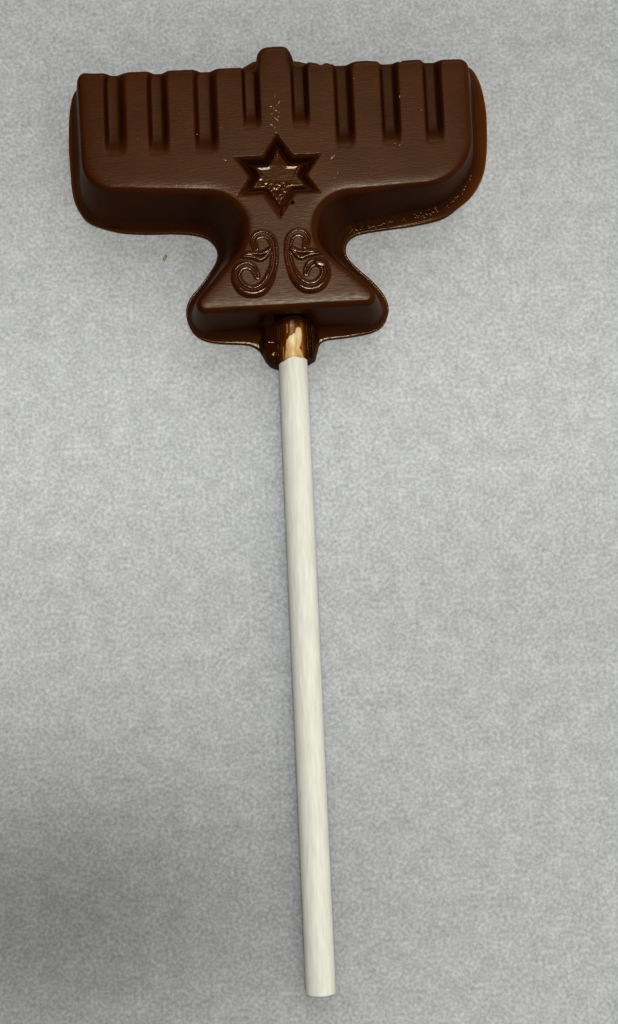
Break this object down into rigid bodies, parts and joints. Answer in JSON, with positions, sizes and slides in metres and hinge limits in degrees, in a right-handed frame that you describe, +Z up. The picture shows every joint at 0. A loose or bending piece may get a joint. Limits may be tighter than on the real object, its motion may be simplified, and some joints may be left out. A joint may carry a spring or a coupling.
{
  "type": "chocolate lollipop",
  "caption": "Flat-backed chocolate lollipop moulded as a candle stand with a sunken star and raised scrolls, on a rolled paper stick, lying face up.",
  "frame": {"origin": "middle of the lollipop's length and width, on the flat surface it lies on", "axes": "+Z up out of the moulded face, +Y from the stick towards the head, +X to the right of the face"},
  "size_m": [0.0642, 0.1396, 0.0099],
  "materials": {
    "chocolate": "moulded milk chocolate, brown, with a soft satin sheen",
    "paper": "tightly rolled cream-white paper, matt with a faint smooth sheen"
  },
  "bodies": {
    "root": {"chocolate_head": "chocolate", "paper_stick": "paper"}
  },
  "joints": []
}
